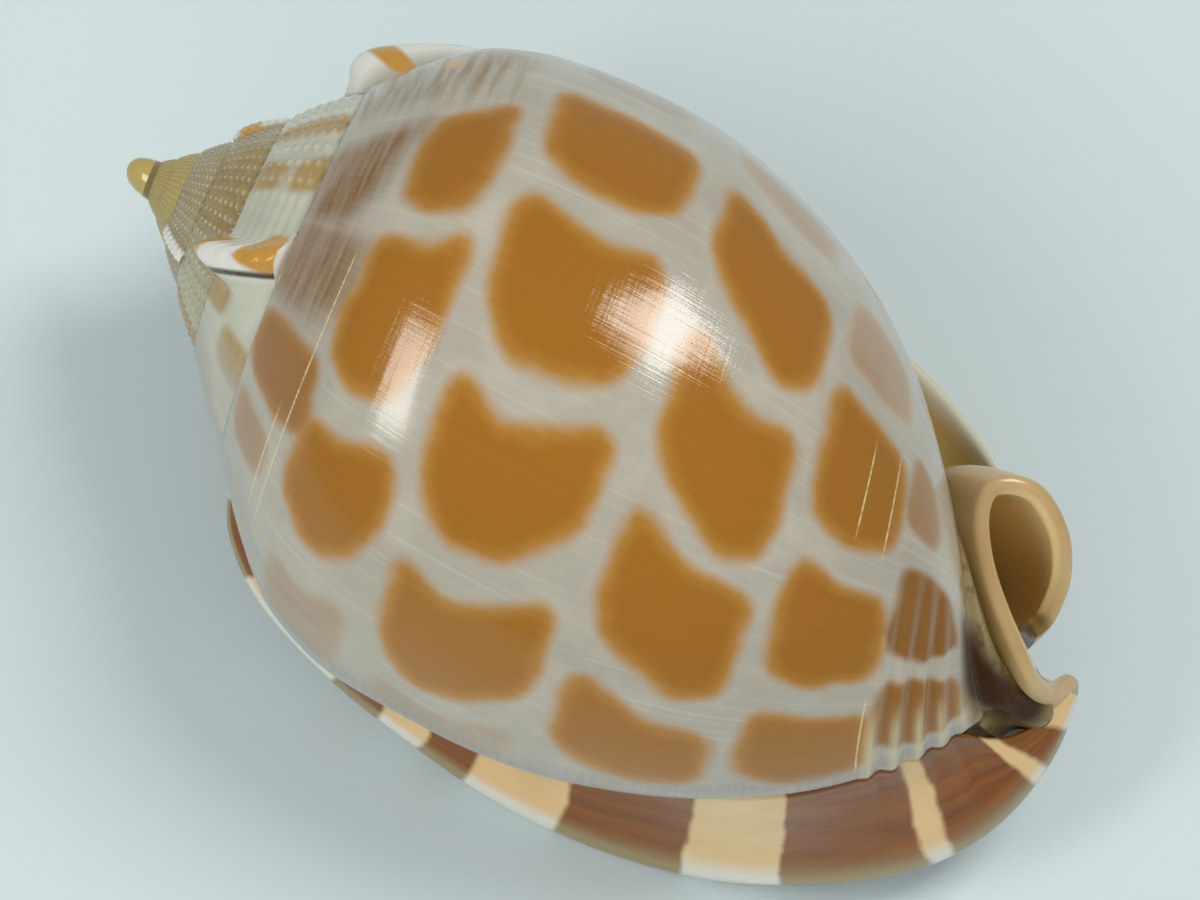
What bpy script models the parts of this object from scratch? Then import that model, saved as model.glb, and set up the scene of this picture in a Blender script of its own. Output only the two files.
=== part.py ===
"""Checkerboard bonnet shell, lying on its aperture side.

The shell is one solid. It is built in the shell's own frame, in millimetres:
a runs along the axis of coiling from the tip of the spire to the canal,
psi is the angle about that axis, 0 at the middle of the back, growing towards
the outer lip. It is then turned into its resting pose and scaled to metres.
"""
import math

import bmesh
import bpy
import numpy as np
from mathutils import Matrix

MM = 0.001

# Growth: each whorl is WHORL_RATIO times the one before it, about a cone point on the axis.
WHORL_RATIO = 1.575
GROWTH = math.log(WHORL_RATIO) / (2.0 * math.pi)
CONE_APEX = 1.42
LIP_ANGLE = 105.0
WHORLS = 5.7

# The first whorl is drawn in to the tip and closed by a dome: (share of its radius, share of its height).
APEX_PULL = 1.3
DOME = [(0.86, 0.5), (0.5, 0.12)]

# Steps round the axis in degrees, the extra ones beside the old lips, and steps in each span of a curve.
ANGLE_STEP = 12.0
VARIX_STEPS = [-103.0, -107.0, -115.0, -347.0, -355.0, -359.0]
SPAN_STEPS = 2

# Outline of the last whorl at the middle of the back: (along the axis, radius).
SUTURE = (13.06, 12.32)
LEDGE = (12.88, 12.78)
SHOULDER = [(15.1, 15.45), (17.5, 17.85)]
BODY = [(23.6, 20.75), (28.2, 21.4), (33.5, 21.6), (38.6, 21.05), (45.0, 19.2),
        (50.8, 16.3), (55.2, 12.9), (58.2, 9.5), (59.7, 7.0)]
FASCIOLE = [(59.8, 6.2), (60.7, 5.3), (60.8, 4.0), (59.2, 2.4), (56.6, 1.0), (55.6, 0.0)]

# Old lips left as varices: angle, half width, height, reach over the suture and lean.
VARICES = [(-109.0, 12.0, 2.5, 2.2, 12.0), (-353.0, 10.0, 1.2, 0.5, 0.0), (-575.0, 10.0, 0.8, 0.3, 0.0),
           (-795.0, 11.0, 0.65, 0.2, 0.0), (-1035.0, 11.0, 0.4, 0.1, 0.0)]
# They rise at once at the suture, lose part of their height past the shoulder and die out at the base.
VARIX_ONSET = 0.25
VARIX_LOSS = 0.6
VARIX_LOSS_FROM = 0.8
VARIX_LOSS_OVER = 1.6
VARIX_BASE_FROM = 0.72
VARIX_BASE_ROWS = 5.0
LEAN_OVER = 2.0

# Hollow of the last whorls: wall under the outside, callus over the whorl before.
WALL = 1.5
CALLUS = 0.5
WALL_LEAST = 0.45
CALLUS_LEAST = 0.6
HOLLOW_LEAST = 0.2
HOLLOW_FIRST = -345.0
HOLLOW_MIDDLE = -75.0
HOLLOW_LAST = 111.0
HOLLOW_STEPS = (15.0, 9.3)
HOLLOW_POINTS = 10
# Rows of the outline at the base that the hollow leaves solid, under the outside and over the whorl before.
HOLLOW_BASE_ROWS = (5.0, 4.0)

# Outer rim of the lip (a, l, h), from the suture round to the canal.
LIP_RIM = [(15.6, 15.2, -4.2), (20.1, 20.9, -5.6), (26.0, 23.9, -6.6), (31.9, 24.8, -7.2), (39.5, 25.3, -7.6),
           (46.8, 25.1, -7.8), (53.9, 24.2, -7.6), (60.2, 22.0, -6.8), (65.2, 18.6, -5.8), (68.4, 15.0, -5.0),
           (70.2, 10.8, -4.4), (70.8, 6.4, -4.2), (70.4, 2.6, -4.4)]
LIP_HALF_WIDTH = [1.1, 1.9, 2.3, 2.4, 2.5, 2.9, 3.1, 3.2, 3.2, 3.1, 2.8, 2.2, 1.5]
LIP_HALF_THICK = [1.0, 1.5, 1.8, 1.9, 2.0, 2.0, 2.0, 2.0, 2.0, 2.0, 1.9, 1.8, 1.4]
LIP_SLOPE = 0.35
LIP_SIDES = 12

# Free rim of the siphonal canal, from the lip's tip round the notch to the inner lip, and its foot.
CANAL_RIM = [(70.1, 2.0, -3.6), (68.7, 3.6, -0.4), (66.3, 3.3, 2.2), (63.2, 1.2, 3.6), (60.2, -1.6, 4.3),
             (58.3, -4.4, 4.5), (58.0, -6.6, 4.8), (59.3, -7.9, 4.5), (61.6, -8.1, 3.8), (64.3, -6.4, 2.8),
             (66.0, -3.8, 1.2), (66.5, -0.9, -0.5), (66.1, 0.6, -2.0)]
CANAL_FOOT = [(69.3, 3.6, -6.4), (67.2, 5.6, -6.8), (64.4, 6.0, -6.0), (61.0, 3.6, -4.0), (57.4, 0.2, -3.0),
              (55.0, -2.4, -3.0), (54.4, -4.2, -4.0), (55.6, -5.0, -6.0), (58.2, -4.6, -9.0),
              (61.2, -3.2, -11.0), (63.2, -1.6, -11.6), (64.4, 0.2, -11.0), (64.8, 1.2, -10.0)]
CANAL_THICK = 1.7
CANAL_MIDDLE = (62.4, -3.2, 0.0)
CANAL_BULGE = 1.0
CANAL_LINES = 6

# Columellar shield: lines from the suture to the canal, from the aperture's edge to the free edge.
SHIELD = [
    [(17.0, 14.6, -5.6), (24.8, 15.2, -5.9), (31.0, 14.2, -5.8), (37.4, 11.6, -5.6), (44.0, 8.4, -6.2),
     (51.0, 5.2, -7.4), (58.0, 2.8, -8.8), (63.8, 0.6, -10.2)],
    [(19.0, 10.3, -12.5), (26.0, 10.9, -13.2), (32.0, 9.9, -13.0), (38.5, 7.8, -12.7), (45.0, 5.2, -12.5),
     (52.0, 2.8, -12.4), (58.6, 0.6, -12.2), (63.6, -1.6, -10.8)],
    [(20.0, 3.0, -16.8), (27.0, 3.0, -17.4), (33.5, 2.2, -16.7), (40.0, 0.8, -15.6), (46.6, -0.8, -14.7),
     (53.0, -2.2, -13.7), (58.8, -3.2, -12.2), (62.9, -4.0, -9.0)],
    [(23.0, -1.5, -17.2), (29.0, -3.4, -17.7), (35.0, -5.2, -16.6), (41.0, -6.6, -15.5), (47.2, -7.5, -14.4),
     (53.2, -7.6, -13.0), (58.4, -6.9, -10.8), (62.0, -6.0, -6.6)],
    [(25.0, -5.0, -16.9), (30.5, -9.0, -15.8), (36.2, -11.6, -14.3), (42.0, -13.0, -13.0), (48.0, -13.2, -12.0),
     (53.0, -12.1, -11.0), (57.4, -10.2, -8.8), (60.4, -8.0, -4.4)],
]
SHIELD_THICK = 1.3

# Pillar between the last whorl and the canal, behind the shield.
PILLAR = [(38.0, 2.0, -5.0), (44.0, 2.0, -7.0), (50.0, 0.8, -7.8), (55.6, -1.0, -7.6), (60.5, -2.8, -8.0)]
PILLAR_HALF = [5.0, 4.8, 4.6, 4.2, 2.4]
PILLAR_SIDES = 10

# Columella: the solid column about the axis, inside the last whorls.
COLUMELLA = [(26.0, 0.0, 0.0), (35.0, 0.3, -0.5), (45.0, 0.4, -1.0), (54.6, -0.2, -1.6)]
COLUMELLA_HALF = [3.0, 2.9, 2.7, 2.0]
COLUMELLA_SIDES = 10

# Resting pose: turns in degrees about the shell's axis and across it, then a shift in millimetres.
ROLL = 19.0
PITCH = 3.0
SHIFT = (-35.21, 1.91, 18.42)
FOOT_BLOCK = (120.0, 80.0, 10.0)


def smooth_curve(points, steps):
    """Catmull-Rom curve through the points, with the given steps in each span."""
    pts = np.array(points, float)
    ends = np.vstack([2 * pts[0] - pts[1], pts, 2 * pts[-1] - pts[-2]])
    t = np.arange(steps)[:, None] / steps
    rows = []
    for p0, p1, p2, p3 in zip(ends[:-3], ends[1:-2], ends[2:-1], ends[3:]):
        rows.append(0.5 * (2 * p1 + (p2 - p0) * t + (2 * p0 - 5 * p1 + 4 * p2 - p3) * t ** 2
                           + (3 * p1 - p0 - 3 * p2 + p3) * t ** 3))
    return np.vstack(rows + [pts[-1:]])


def whorl_outline():
    """Rows of the last whorl's outline at psi 0, and the row that the next suture follows."""
    seam = (CONE_APEX + WHORL_RATIO * (SUTURE[0] - CONE_APEX), WHORL_RATIO * SUTURE[1])
    upper = [LEDGE] + SHOULDER + [seam]
    curve = smooth_curve(upper + BODY + FASCIOLE, SPAN_STEPS)
    return np.vstack([[SUTURE], curve]), 1 + SPAN_STEPS * (len(upper) - 1)


def smoothstep(x):
    """0 up to x = 0, 1 from x = 1, and x^2 (3 - 2x) between."""
    x = np.clip(x, 0.0, 1.0)
    return x * x * (3.0 - 2.0 * x)


def coil_points(outline, seam_row, psi):
    """Outline at each angle psi (degrees), grown about the axis, as (a, l, h) in millimetres.

    scale = exp(GROWTH * psi); a = CONE_APEX + scale * (a0 - CONE_APEX); r = scale * r0.
    """
    angle = np.radians(np.asarray(psi, float))[:, None]
    scale = np.exp(GROWTH * angle)
    a = CONE_APEX + scale * (outline[None, :, 0] - CONE_APEX)
    r = scale * outline[None, :, 1]
    tangent = np.gradient(outline, axis=0)
    tangent /= np.linalg.norm(tangent, axis=1, keepdims=True)
    row = np.arange(len(outline))[None, :]
    along = row / seam_row
    for centre, half, height, reach, lean in VARICES:
        middle = centre - lean * smoothstep(along / LEAN_OVER)
        x = np.clip((np.degrees(angle) - middle) / half, -1.0, 1.0)
        bump = smoothstep(along / VARIX_ONSET) * np.cos(0.5 * np.pi * x) ** 2
        fade = 1.0 - VARIX_LOSS * smoothstep((along - VARIX_LOSS_FROM) / VARIX_LOSS_OVER)
        fade = fade * (1.0 - smoothstep((row - VARIX_BASE_FROM * len(outline)) / VARIX_BASE_ROWS))
        rise = height * fade * bump
        a = a - rise * tangent[None, :, 1] - reach * bump * (1.0 - smoothstep(along))
        r = r + rise * tangent[None, :, 0]
    a = a - CONE_APEX * np.exp(-(a - CONE_APEX) / APEX_PULL)
    return np.stack([a, r * np.sin(angle), r * np.cos(angle)], axis=-1)


def to_world(points):
    """Shell frame (a, l, h) in millimetres to the resting pose in metres."""
    flat = np.asarray(points, float).reshape(-1, 3)
    turned = np.stack([flat[:, 0], -flat[:, 1], flat[:, 2]], axis=1)
    pose = Matrix.Rotation(math.radians(PITCH), 3, "Y") @ Matrix.Rotation(math.radians(ROLL), 3, "X")
    turned = turned @ np.array(pose).T
    return (turned + SHIFT) * MM


def make_mesh(name, points, faces):
    """Mesh in the resting pose, with coinciding points joined and faces outward."""
    mesh = bpy.data.meshes.new(name)
    mesh.from_pydata(to_world(points).tolist(), [], faces)
    shape = bmesh.new()
    shape.from_mesh(mesh)
    bmesh.ops.remove_doubles(shape, verts=shape.verts, dist=1e-7)
    bmesh.ops.recalc_face_normals(shape, faces=shape.faces)
    shape.to_mesh(mesh)
    shape.free()
    return mesh


def add_object(name, mesh, helper=True):
    """Object of the scene; a helper only shapes the shell and is not drawn."""
    item = bpy.data.objects.new(name, mesh)
    bpy.context.scene.collection.objects.link(item)
    if helper:
        item.hide_render = True
        item.display_type = "WIRE"
    return item


def coil_angles():
    """Angles of the outline's copies, closer together at the varices, the same in every whorl."""
    back = np.r_[np.arange(0.0, 360.0, ANGLE_STEP), (LIP_ANGLE - np.array(VARIX_STEPS)) % 360.0]
    back = np.sort(back)
    count = int(WHORLS * len(back))
    psi = np.array([LIP_ANGLE - back[n % len(back)] - 360.0 * (n // len(back)) for n in range(count)])
    return psi[::-1], len(back)


def coil_mesh():
    """Closed body: ribbons of the spire, the whole last whorl, and its end face at the lip."""
    outline, seam = whorl_outline()
    rows = len(outline)
    psi, per_whorl = coil_angles()
    count = len(psi)
    grid = coil_points(outline, seam, psi)
    full_from = count - 1 - per_whorl
    points = []
    index = -np.ones((count, rows), int)
    for i in range(count):
        last = rows if i >= full_from else seam + 1
        for j in range(last):
            if j == 0 and i >= per_whorl:
                index[i, 0] = index[i - per_whorl, seam]
                continue
            index[i, j] = len(points)
            points.append(grid[i, j])
    faces = []
    for i in range(count - 1):
        last = rows - 1 if i >= full_from else seam
        for j in range(last):
            faces.append([index[i, j], index[i + 1, j], index[i + 1, j + 1], index[i, j + 1]])
    top = [index[0, j] for j in range(seam, 0, -1)] + [index[i, 0] for i in range(per_whorl)]
    rim = np.array([points[v] for v in top])
    previous = top
    for wide, tall in DOME:
        ring = list(range(len(points), len(points) + len(top)))
        points.extend(rim * (tall, wide, wide))
        for n in range(len(top)):
            m = (n + 1) % len(top)
            faces.append([previous[n], previous[m], ring[m], ring[n]])
        previous = ring
    points.append(np.zeros(3))
    for n in range(len(top)):
        faces.append([previous[n], previous[(n + 1) % len(top)], len(points) - 1])
    end = [index[count - 1, j] for j in range(rows)]
    end += [index[i, rows - 1] for i in range(count - 2, full_from - 1, -1)]
    end += [index[full_from, j] for j in range(rows - 2, seam, -1)]
    faces.append(end)
    return make_mesh("coil", points, faces)


def closed_tube(name, rings):
    """Closed body from rings of equal length, filled at both ends."""
    rings = np.asarray(rings, float)
    count, sides = rings.shape[:2]
    faces = []
    for i in range(count - 1):
        for j in range(sides):
            k = (j + 1) % sides
            faces.append([i * sides + j, i * sides + k, (i + 1) * sides + k, (i + 1) * sides + j])
    faces.append(list(range(sides))[::-1])
    faces.append(list(range((count - 1) * sides, count * sides)))
    return make_mesh(name, rings.reshape(-1, 3), faces)


def outward_of(tangent, slope):
    """Unit vectors to the left of the path in the a-l plane, sloping down by the given share."""
    side = np.stack([-tangent[:, 1], tangent[:, 0], np.zeros(len(tangent))], axis=1)
    side /= np.linalg.norm(side, axis=1, keepdims=True)
    side[:, 2] = -slope
    return side / np.linalg.norm(side, axis=1, keepdims=True)


def tube_rings(path, wide, thick, sides, slope=0.0):
    """Elliptical rings along a path; the wide axis points outwards and slopes down by the given share."""
    line = smooth_curve(path, SPAN_STEPS)
    size = smooth_curve(np.stack([wide, thick], axis=1), SPAN_STEPS)
    tangent = np.gradient(line, axis=0)
    tangent /= np.linalg.norm(tangent, axis=1, keepdims=True)
    across = outward_of(tangent, slope)
    upright = np.cross(tangent, across)
    turn = 2.0 * np.pi * np.arange(sides) / sides
    return (line[:, None] + size[:, None, :1] * np.cos(turn)[None, :, None] * across[:, None]
            + size[:, None, 1:] * np.sin(turn)[None, :, None] * upright[:, None])


def plate_mesh(name, front, thickness):
    """Closed plate: a grid of points and the same grid set back along its normals."""
    du = np.gradient(front, axis=0)
    dv = np.gradient(front, axis=1)
    normal = np.cross(du, dv)
    normal /= np.linalg.norm(normal, axis=2, keepdims=True)
    back = front - normal * thickness
    rows, columns = front.shape[:2]
    points = np.vstack([front.reshape(-1, 3), back.reshape(-1, 3)])
    half = rows * columns
    faces = []
    for i in range(rows - 1):
        for j in range(columns - 1):
            quad = [i * columns + j, (i + 1) * columns + j, (i + 1) * columns + j + 1, i * columns + j + 1]
            faces.append(quad)
            faces.append([half + v for v in reversed(quad)])
    border = [i * columns for i in range(rows)]
    border += [(rows - 1) * columns + j for j in range(1, columns)]
    border += [i * columns + columns - 1 for i in range(rows - 2, -1, -1)]
    border += list(range(columns - 2, 0, -1))
    for v, w in zip(border, border[1:] + border[:1]):
        faces.append([v, w, half + w, half + v])
    return make_mesh(name, points, faces)


def lip_mesh():
    """Thick rounded roll whose outer rim follows LIP_RIM."""
    rim = np.array(LIP_RIM)
    tangent = np.gradient(rim, axis=0)
    outward = outward_of(tangent, LIP_SLOPE)
    centre = rim - outward * np.array(LIP_HALF_WIDTH)[:, None]
    return closed_tube("lip", tube_rings(centre, LIP_HALF_WIDTH, LIP_HALF_THICK, LIP_SIDES, LIP_SLOPE))


def canal_mesh():
    """Bulging wall between the canal's free rim and its foot."""
    rim = smooth_curve(CANAL_RIM, SPAN_STEPS)
    foot = smooth_curve(CANAL_FOOT, SPAN_STEPS)
    t = np.linspace(0.0, 1.0, CANAL_LINES)[None, :, None]
    outward = rim - CANAL_MIDDLE
    outward[:, 2] = 0.0
    outward /= np.linalg.norm(outward, axis=1, keepdims=True)
    wall = rim[:, None] * (1.0 - t) + foot[:, None] * t
    wall += CANAL_BULGE * np.sin(np.pi * t) * outward[:, None]
    return plate_mesh("canal", wall, -CANAL_THICK)


def shield_mesh():
    """Sheet of callus through the lines of SHIELD, smooth both ways."""
    lines = np.stack([smooth_curve(line, SPAN_STEPS) for line in SHIELD])
    grid = np.stack([smooth_curve(lines[:, i], SPAN_STEPS) for i in range(lines.shape[1])])
    return plate_mesh("shield", grid, SHIELD_THICK)


def hollow_mesh():
    """Swept D section: inside the wall of one whorl and outside the whorl before it."""
    outline, seam = whorl_outline()
    count = len(outline)
    coarse, fine = HOLLOW_STEPS
    early = np.arange(HOLLOW_FIRST, HOLLOW_MIDDLE, coarse)
    late = np.arange(HOLLOW_MIDDLE, HOLLOW_LAST + 1.0, fine)
    psi = np.r_[early, late]
    rings = []
    u = np.linspace(0.0, 1.0, HOLLOW_POINTS)
    outer_row = 1.0 + u * (count - HOLLOW_BASE_ROWS[0])
    inner_row = seam + u * (count - HOLLOW_BASE_ROWS[1] - seam)
    for angle in psi:
        outer = coil_points(outline, seam, [angle])[0]
        inner = coil_points(outline, seam, [angle - 360.0])[0]
        take = np.arange(count)
        outer = np.stack([np.interp(outer_row, take, outer[:, k]) for k in range(3)], axis=1)
        inner = np.stack([np.interp(inner_row, take, inner[:, k]) for k in range(3)], axis=1)
        gap = outer - inner
        wide = np.linalg.norm(gap, axis=1, keepdims=True)
        scale = math.exp(GROWTH * math.radians(angle))
        wall = WALL * max(scale, WALL_LEAST)
        callus = CALLUS * max(scale, CALLUS_LEAST)
        keep = wide[:, 0] > wall + callus + HOLLOW_LEAST
        first = int(np.argmax(keep))
        unit = gap / np.maximum(wide, 1e-6)
        out_line = (outer - unit * wall)[first:]
        in_line = (inner + unit * callus)[first:]
        ring = np.vstack([resample(out_line), resample(in_line)[::-1]])
        rings.append(ring)
    return closed_tube("hollow", rings)


def resample(line):
    """HOLLOW_POINTS points at equal distances along a line."""
    length = np.r_[0.0, np.cumsum(np.linalg.norm(np.diff(line, axis=0), axis=1))]
    at = np.linspace(0.0, length[-1], HOLLOW_POINTS)
    return np.stack([np.interp(at, length, line[:, k]) for k in range(3)], axis=1)


def foot_block_mesh():
    """Block under the resting surface: it takes a hair off the lowest spots and leaves them flat."""
    mesh = bpy.data.meshes.new("foot_block")
    shape = bmesh.new()
    size = [side * MM for side in FOOT_BLOCK]
    below = Matrix.Translation((0.0, 0.0, -0.5 * size[2]))
    bmesh.ops.create_cube(shape, size=1.0, matrix=below @ Matrix.Diagonal((*size, 1.0)))
    shape.to_mesh(mesh)
    shape.free()
    return mesh


def shell_material():
    """Glossy shell, in the mean colour of its back."""
    material = bpy.data.materials.new("glazed_shell")
    material.use_nodes = True
    surface = material.node_tree.nodes["Principled BSDF"]
    surface.inputs["Base Color"].default_value = (0.62, 0.42, 0.22, 1.0)
    surface.inputs["Roughness"].default_value = 0.28
    surface.inputs["Metallic"].default_value = 0.0
    return material


def boolean(target, tool, operation):
    """Adds the tool to the target, or takes it away, as a live modifier."""
    modifier = target.modifiers.new(tool.name, "BOOLEAN")
    modifier.operation = operation
    modifier.solver = "EXACT"
    modifier.object = tool


def main():
    """Coil with its hollow, then columella, lip, pillar, canal and shield joined to it as one body."""
    for item in list(bpy.data.objects):
        bpy.data.objects.remove(item, do_unlink=True)
    shell = add_object("shell", coil_mesh(), helper=False)
    lip = add_object("lip", lip_mesh())
    canal = add_object("canal", canal_mesh())
    shield = add_object("shield", shield_mesh())
    pillar_rings = tube_rings(PILLAR, PILLAR_HALF, PILLAR_HALF, PILLAR_SIDES)
    pillar = add_object("pillar", closed_tube("pillar", pillar_rings))
    column_rings = tube_rings(COLUMELLA, COLUMELLA_HALF, COLUMELLA_HALF, COLUMELLA_SIDES)
    columella = add_object("columella", closed_tube("columella", column_rings))
    hollow = add_object("hollow", hollow_mesh())
    boolean(shell, hollow, "DIFFERENCE")
    for tool in (columella, lip, pillar, canal, shield):
        boolean(shell, tool, "UNION")
    boolean(shell, add_object("foot_block", foot_block_mesh()), "DIFFERENCE")
    shell.data.materials.append(shell_material())
    shell.data.shade_smooth()


main()
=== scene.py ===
"""Checkerboard bonnet shell, lying on its belly and lip on a plain pale surface."""
import math

import bmesh
import bpy
import numpy as np
from mathutils import Matrix, Vector


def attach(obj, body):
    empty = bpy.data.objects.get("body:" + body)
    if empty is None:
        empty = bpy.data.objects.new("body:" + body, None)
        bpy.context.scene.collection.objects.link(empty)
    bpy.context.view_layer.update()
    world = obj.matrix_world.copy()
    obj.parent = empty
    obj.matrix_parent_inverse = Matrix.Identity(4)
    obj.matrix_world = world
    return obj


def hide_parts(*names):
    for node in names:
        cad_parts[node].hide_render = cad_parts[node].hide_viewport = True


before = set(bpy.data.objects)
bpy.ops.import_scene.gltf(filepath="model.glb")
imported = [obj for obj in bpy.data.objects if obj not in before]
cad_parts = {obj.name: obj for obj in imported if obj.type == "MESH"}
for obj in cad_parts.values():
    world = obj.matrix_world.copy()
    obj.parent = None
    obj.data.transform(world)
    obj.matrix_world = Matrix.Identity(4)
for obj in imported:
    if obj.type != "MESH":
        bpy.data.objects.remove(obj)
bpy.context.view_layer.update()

# Resting pose. The shell is worked out in its own frame, in millimetres: a runs along the axis of
# coiling from the tip of the spire, l to the outer lip, h out of the back. It is rolled onto its
# lip and belly, as a real one tips over when it is put down.
ROLL = 19.0
PITCH = 3.0
SHIFT = (-35.21, 1.91, 18.42)
MM = 0.001
pose = Matrix.Translation(Vector(SHIFT) * MM)
pose = pose @ Matrix.Rotation(math.radians(PITCH), 4, "Y") @ Matrix.Rotation(math.radians(ROLL), 4, "X")


def seat(points):
    """(a, l, h) in millimetres to metres: X = a, Y = -l, Z = h, then rolled, pitched, shifted and scaled."""
    flat = np.asarray(points, float).reshape(-1, 3) * (MM, -MM, MM)
    turn = np.array(pose)
    return flat @ turn[:3, :3].T + turn[:3, 3]


# The table. A sheet of pale blue-grey card under the shell, wide enough to fill the view. It is
# pressed paper pulp, so it is matt, a little uneven in tone, and has fibres 0.4 mm across.
CARD = "#CAD7D8"
CARD_LIGHT = "#D0DCDD"
CARD_HALF = 2
TONES_PER_METRE = 3.0
FIBRES_PER_METRE = 2500.0


def linear(code):
    """sRGB hex to linear: c / 12.92 up to 0.04045, ((c + 0.055) / 1.055) ^ 2.4 above."""
    srgb = np.array([int(code[i:i + 2], 16) for i in (1, 3, 5)]) / 255.0
    return (*np.where(srgb <= 0.04045, srgb / 12.92, ((srgb + 0.055) / 1.055) ** 2.4), 1.0)


def add(tree, kind, feeds=None, out=0, **settings):
    """Adds one node. Settings are its properties; feeds fill its inputs, by number or name, with a value,
    a hex colour or the output of another node. Gives back one of its own outputs."""
    node = tree.nodes.new("ShaderNode" + kind)
    for key, value in settings.items():
        setattr(node, key, value)
    for key, value in (feeds or {}).items():
        if isinstance(value, bpy.types.NodeSocket):
            tree.links.new(value, node.inputs[key])
        else:
            node.inputs[key].default_value = linear(value) if isinstance(value, str) else value
    return node.outputs[out]


def finish(name, roughness, ior, coat):
    """New principled material with its roughness, refraction and clear outermost glaze."""
    material = bpy.data.materials.new(name)
    material.use_nodes = True
    surface = material.node_tree.nodes["Principled BSDF"]
    surface.inputs["Roughness"].default_value = roughness
    surface.inputs["IOR"].default_value = ior
    surface.inputs["Coat Weight"].default_value = coat
    surface.inputs["Coat Roughness"].default_value = 0.04
    return material, material.node_tree, surface


card_material, tree, surface = finish("matt_card", 0.9, 1.45, 0.0)
surface.inputs["Specular IOR Level"].default_value = 0.1
place = add(tree, "TexCoord", out="Object")
tone = add(tree, "TexNoise", {"Vector": place, "Scale": TONES_PER_METRE, "Detail": 1.0})
pale = add(tree, "Mix", {0: tone, 6: CARD, 7: CARD_LIGHT}, 2, data_type="RGBA")
tree.links.new(pale, surface.inputs["Base Color"])
fibre = add(tree, "TexNoise", {"Vector": place, "Scale": FIBRES_PER_METRE, "Detail": 2.0})
bump = add(tree, "Bump", {"Strength": 0.1, "Distance": 0.00005, "Height": fibre})
tree.links.new(bump, surface.inputs["Normal"])
card_mesh = bpy.data.meshes.new("card")
corners = [(x * CARD_HALF, y * CARD_HALF, 0) for x, y in ((-1, -1), (1, -1), (1, 1), (-1, 1))]
card_mesh.from_pydata(corners, [], [(0, 1, 2, 3)])
card = bpy.data.objects.new("card", card_mesh)
card.data.materials.append(card_material)
bpy.context.scene.collection.objects.link(card)

# The light. A pale room all round, and two soft lamps that the glaze mirrors: a narrow one over the
# spire, and a broad one behind the back. A third fills the lip's side, and isn't mirrored.
ROOM = (0.88, 0.95, 1.0, 1.0)
ROOM_STRENGTH = 0.44
bpy.context.scene.view_settings.view_transform = "Standard"
room = bpy.data.worlds.new("room")
bpy.context.scene.world = room
room.use_nodes = True
room.node_tree.nodes["Background"].inputs["Color"].default_value = ROOM
room.node_tree.nodes["Background"].inputs["Strength"].default_value = ROOM_STRENGTH


def lamp(name, start, target, size, power, colour, roll=0.0):
    """Rectangular area light at a place in the shell's frame (a, l, h in mm), facing the target and
    rolled about the line between them."""
    data = bpy.data.lights.new(name, "AREA")
    data.shape = "RECTANGLE"
    data.size, data.size_y = size
    data.energy = power
    data.color = colour
    item = bpy.data.objects.new(name, data)
    near, far = (Vector(p) for p in seat([start, target]))
    aim = (near - far).to_track_quat("Z", "Y").to_matrix().to_4x4()
    item.matrix_world = Matrix.Translation(near) @ aim @ Matrix.Rotation(math.radians(roll), 4, "Z")
    bpy.context.scene.collection.objects.link(item)
    return item


lamp("spire_lamp", (-152, 84, 255), (23, 4, 20), (0.195, 0.070), 0.34, (1.0, 0.98, 0.94), -45.0)
lamp("back_lamp", (99, -207, 233), (36, -6, 20), (0.110, 0.150), 0.52, (1.0, 0.98, 0.95))
fill = lamp("lip_lamp", (120, 330, 200), (40, 20, -4), (0.34, 0.34), 0.60, (0.95, 0.97, 1.0))
fill.visible_glossy = False

# The camera. It looks straight down on the back of the shell, with the axis of coiling turned 27
# degrees in the picture, from 4200 picture points away, where 1088 of them are 70 mm.
VIEW_TURN = 27.0
PIXELS_AWAY = 4200.0
PIXELS_LONG = 1088.0
MM_LONG = 70.0
VIEW_DISTANCE = PIXELS_AWAY * MM_LONG / PIXELS_LONG
VIEW_MIDDLE = (35.37, 2.55)
eye = bpy.data.cameras.new("camera")
eye.sensor_width = 36.0
eye.lens = 126.0
eye.clip_start = 0.005
camera = bpy.data.objects.new("camera", eye)
above = Matrix.Translation(Vector((VIEW_MIDDLE[0], -VIEW_MIDDLE[1], VIEW_DISTANCE)) * MM)
camera.matrix_world = pose @ above @ Matrix.Rotation(math.radians(VIEW_TURN), 4, "Z")
bpy.context.scene.collection.objects.link(camera)
bpy.context.scene.camera = camera

# The whorls. One tube of hard aragonite grown round the axis, each turn 1.575 times the last, from
# the pinhead first whorl to the swollen last one. It is hollow from the aperture inwards, old
# thickened lips stand on it as varices, and it draws in a little just before the last lip.
WHORL_RATIO = 1.575
GROWTH = math.log(WHORL_RATIO) / (2.0 * math.pi)
CONE_APEX = 1.42
APEX_PULL = 1.3
DOME = [(0.97, 0.8), (0.86, 0.5), (0.7, 0.26), (0.5, 0.12), (0.25, 0.03)]
LIP_ANGLE = 105.0
PER_WHORL = 200
WHORLS = 5.7
SUTURE = (13.06, 12.32)
LEDGE = (12.88, 12.78)
SHOULDER = [(15.1, 15.45), (17.5, 17.85)]
BODY = [(23.6, 20.75), (28.2, 21.4), (33.5, 21.6), (38.6, 21.05), (45.0, 19.2),
        (50.8, 16.3), (55.2, 12.9), (58.2, 9.5), (59.7, 7.0)]
FASCIOLE = [(59.8, 6.2), (60.7, 5.3), (60.8, 4.0), (59.2, 2.4), (56.6, 1.0), (55.6, 0.0)]
SPAN_STEPS = [14] * 3 + [8] * 6 + [16, 18, 9] + [6] * 6
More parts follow.
